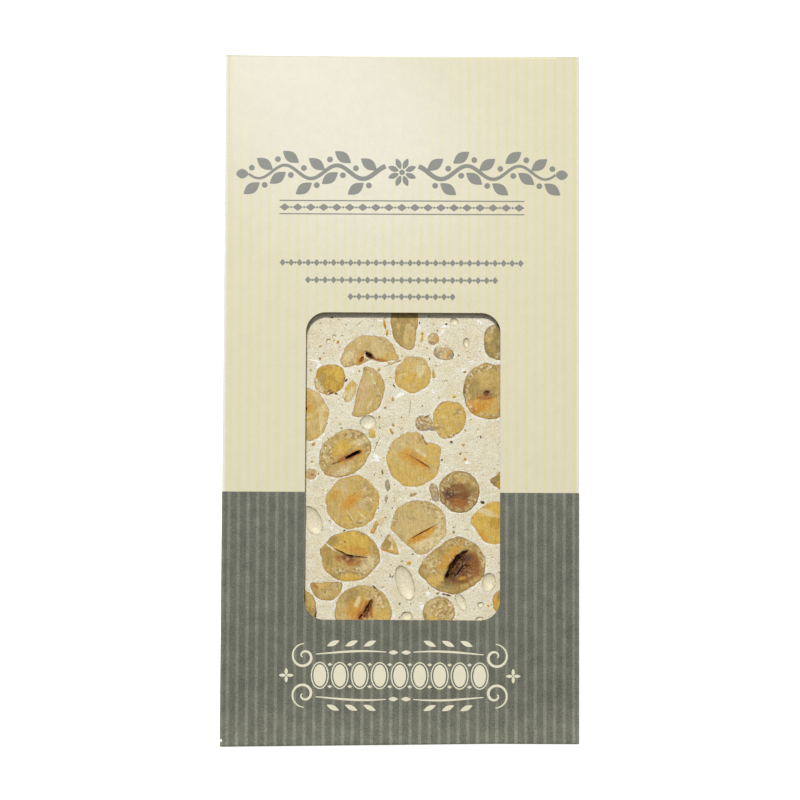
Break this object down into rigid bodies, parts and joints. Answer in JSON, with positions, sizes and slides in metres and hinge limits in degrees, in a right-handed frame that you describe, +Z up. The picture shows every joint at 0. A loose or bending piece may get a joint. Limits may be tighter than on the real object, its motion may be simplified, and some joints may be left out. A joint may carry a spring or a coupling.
{
  "type": "boxed nougat slice",
  "caption": "Thin sawn slice of white nougat with cut hazelnuts, lying in a slim striped paperboard carton with a rounded window in its front panel.",
  "frame": {"origin": "middle of the carton's underside, its back panel, which lies on the surface", "axes": "+X to the right across the front, +Y along the carton towards its top end, +Z up out of the front panel with the window"},
  "size_m": [0.09, 0.175, 0.007],
  "materials": {
    "carton": "coated paperboard, satin, printed in cream and dark grey fields with fine pearly stripes",
    "nougat": "sawn white nougat, slightly waxy and translucent, with small air bubbles",
    "hazelnut": "cut hazelnut flesh, waxy, golden to beige, with a thin dark skin at the edge",
    "hazelnut_skin": "broken bits of nut and brown skin, half clear"
  },
  "bodies": {
    "root": {"carton": "carton", "nougat": "nougat", "hazelnut_top_half": "hazelnut", "hazelnut_arch": "hazelnut", "hazelnut_round_upper": "hazelnut", "hazelnut_yellow": "hazelnut", "hazelnut_wedge": "hazelnut", "hazelnut_edge_upper": "hazelnut", "hazelnut_ringed": "hazelnut", "hazelnut_edge_left": "hazelnut", "hazelnut_round_right": "hazelnut", "hazelnut_slit": "hazelnut", "hazelnut_broad": "hazelnut", "hazelnut_brown": "hazelnut", "hazelnut_large_left": "hazelnut", "hazelnut_lens": "hazelnut", "hazelnut_edge_lower": "hazelnut", "hazelnut_split": "hazelnut", "hazelnut_chip": "hazelnut", "hazelnut_dark_heart": "hazelnut", "hazelnut_half_moon": "hazelnut", "hazelnut_corner_left": "hazelnut", "hazelnut_open_core": "hazelnut", "hazelnut_round_lower": "hazelnut", "hazelnut_corner_right": "hazelnut", "hazelnut_edge_tip": "hazelnut", "hazelnut_sliver": "hazelnut", "hazelnut_crumb_pink": "hazelnut_skin", "hazelnut_crumb_grey": "hazelnut_skin", "hazelnut_crumb_clear": "hazelnut_skin", "hazelnut_crumb_skin": "hazelnut_skin", "hazelnut_crumb_left": "hazelnut_skin"}
  },
  "joints": []
}
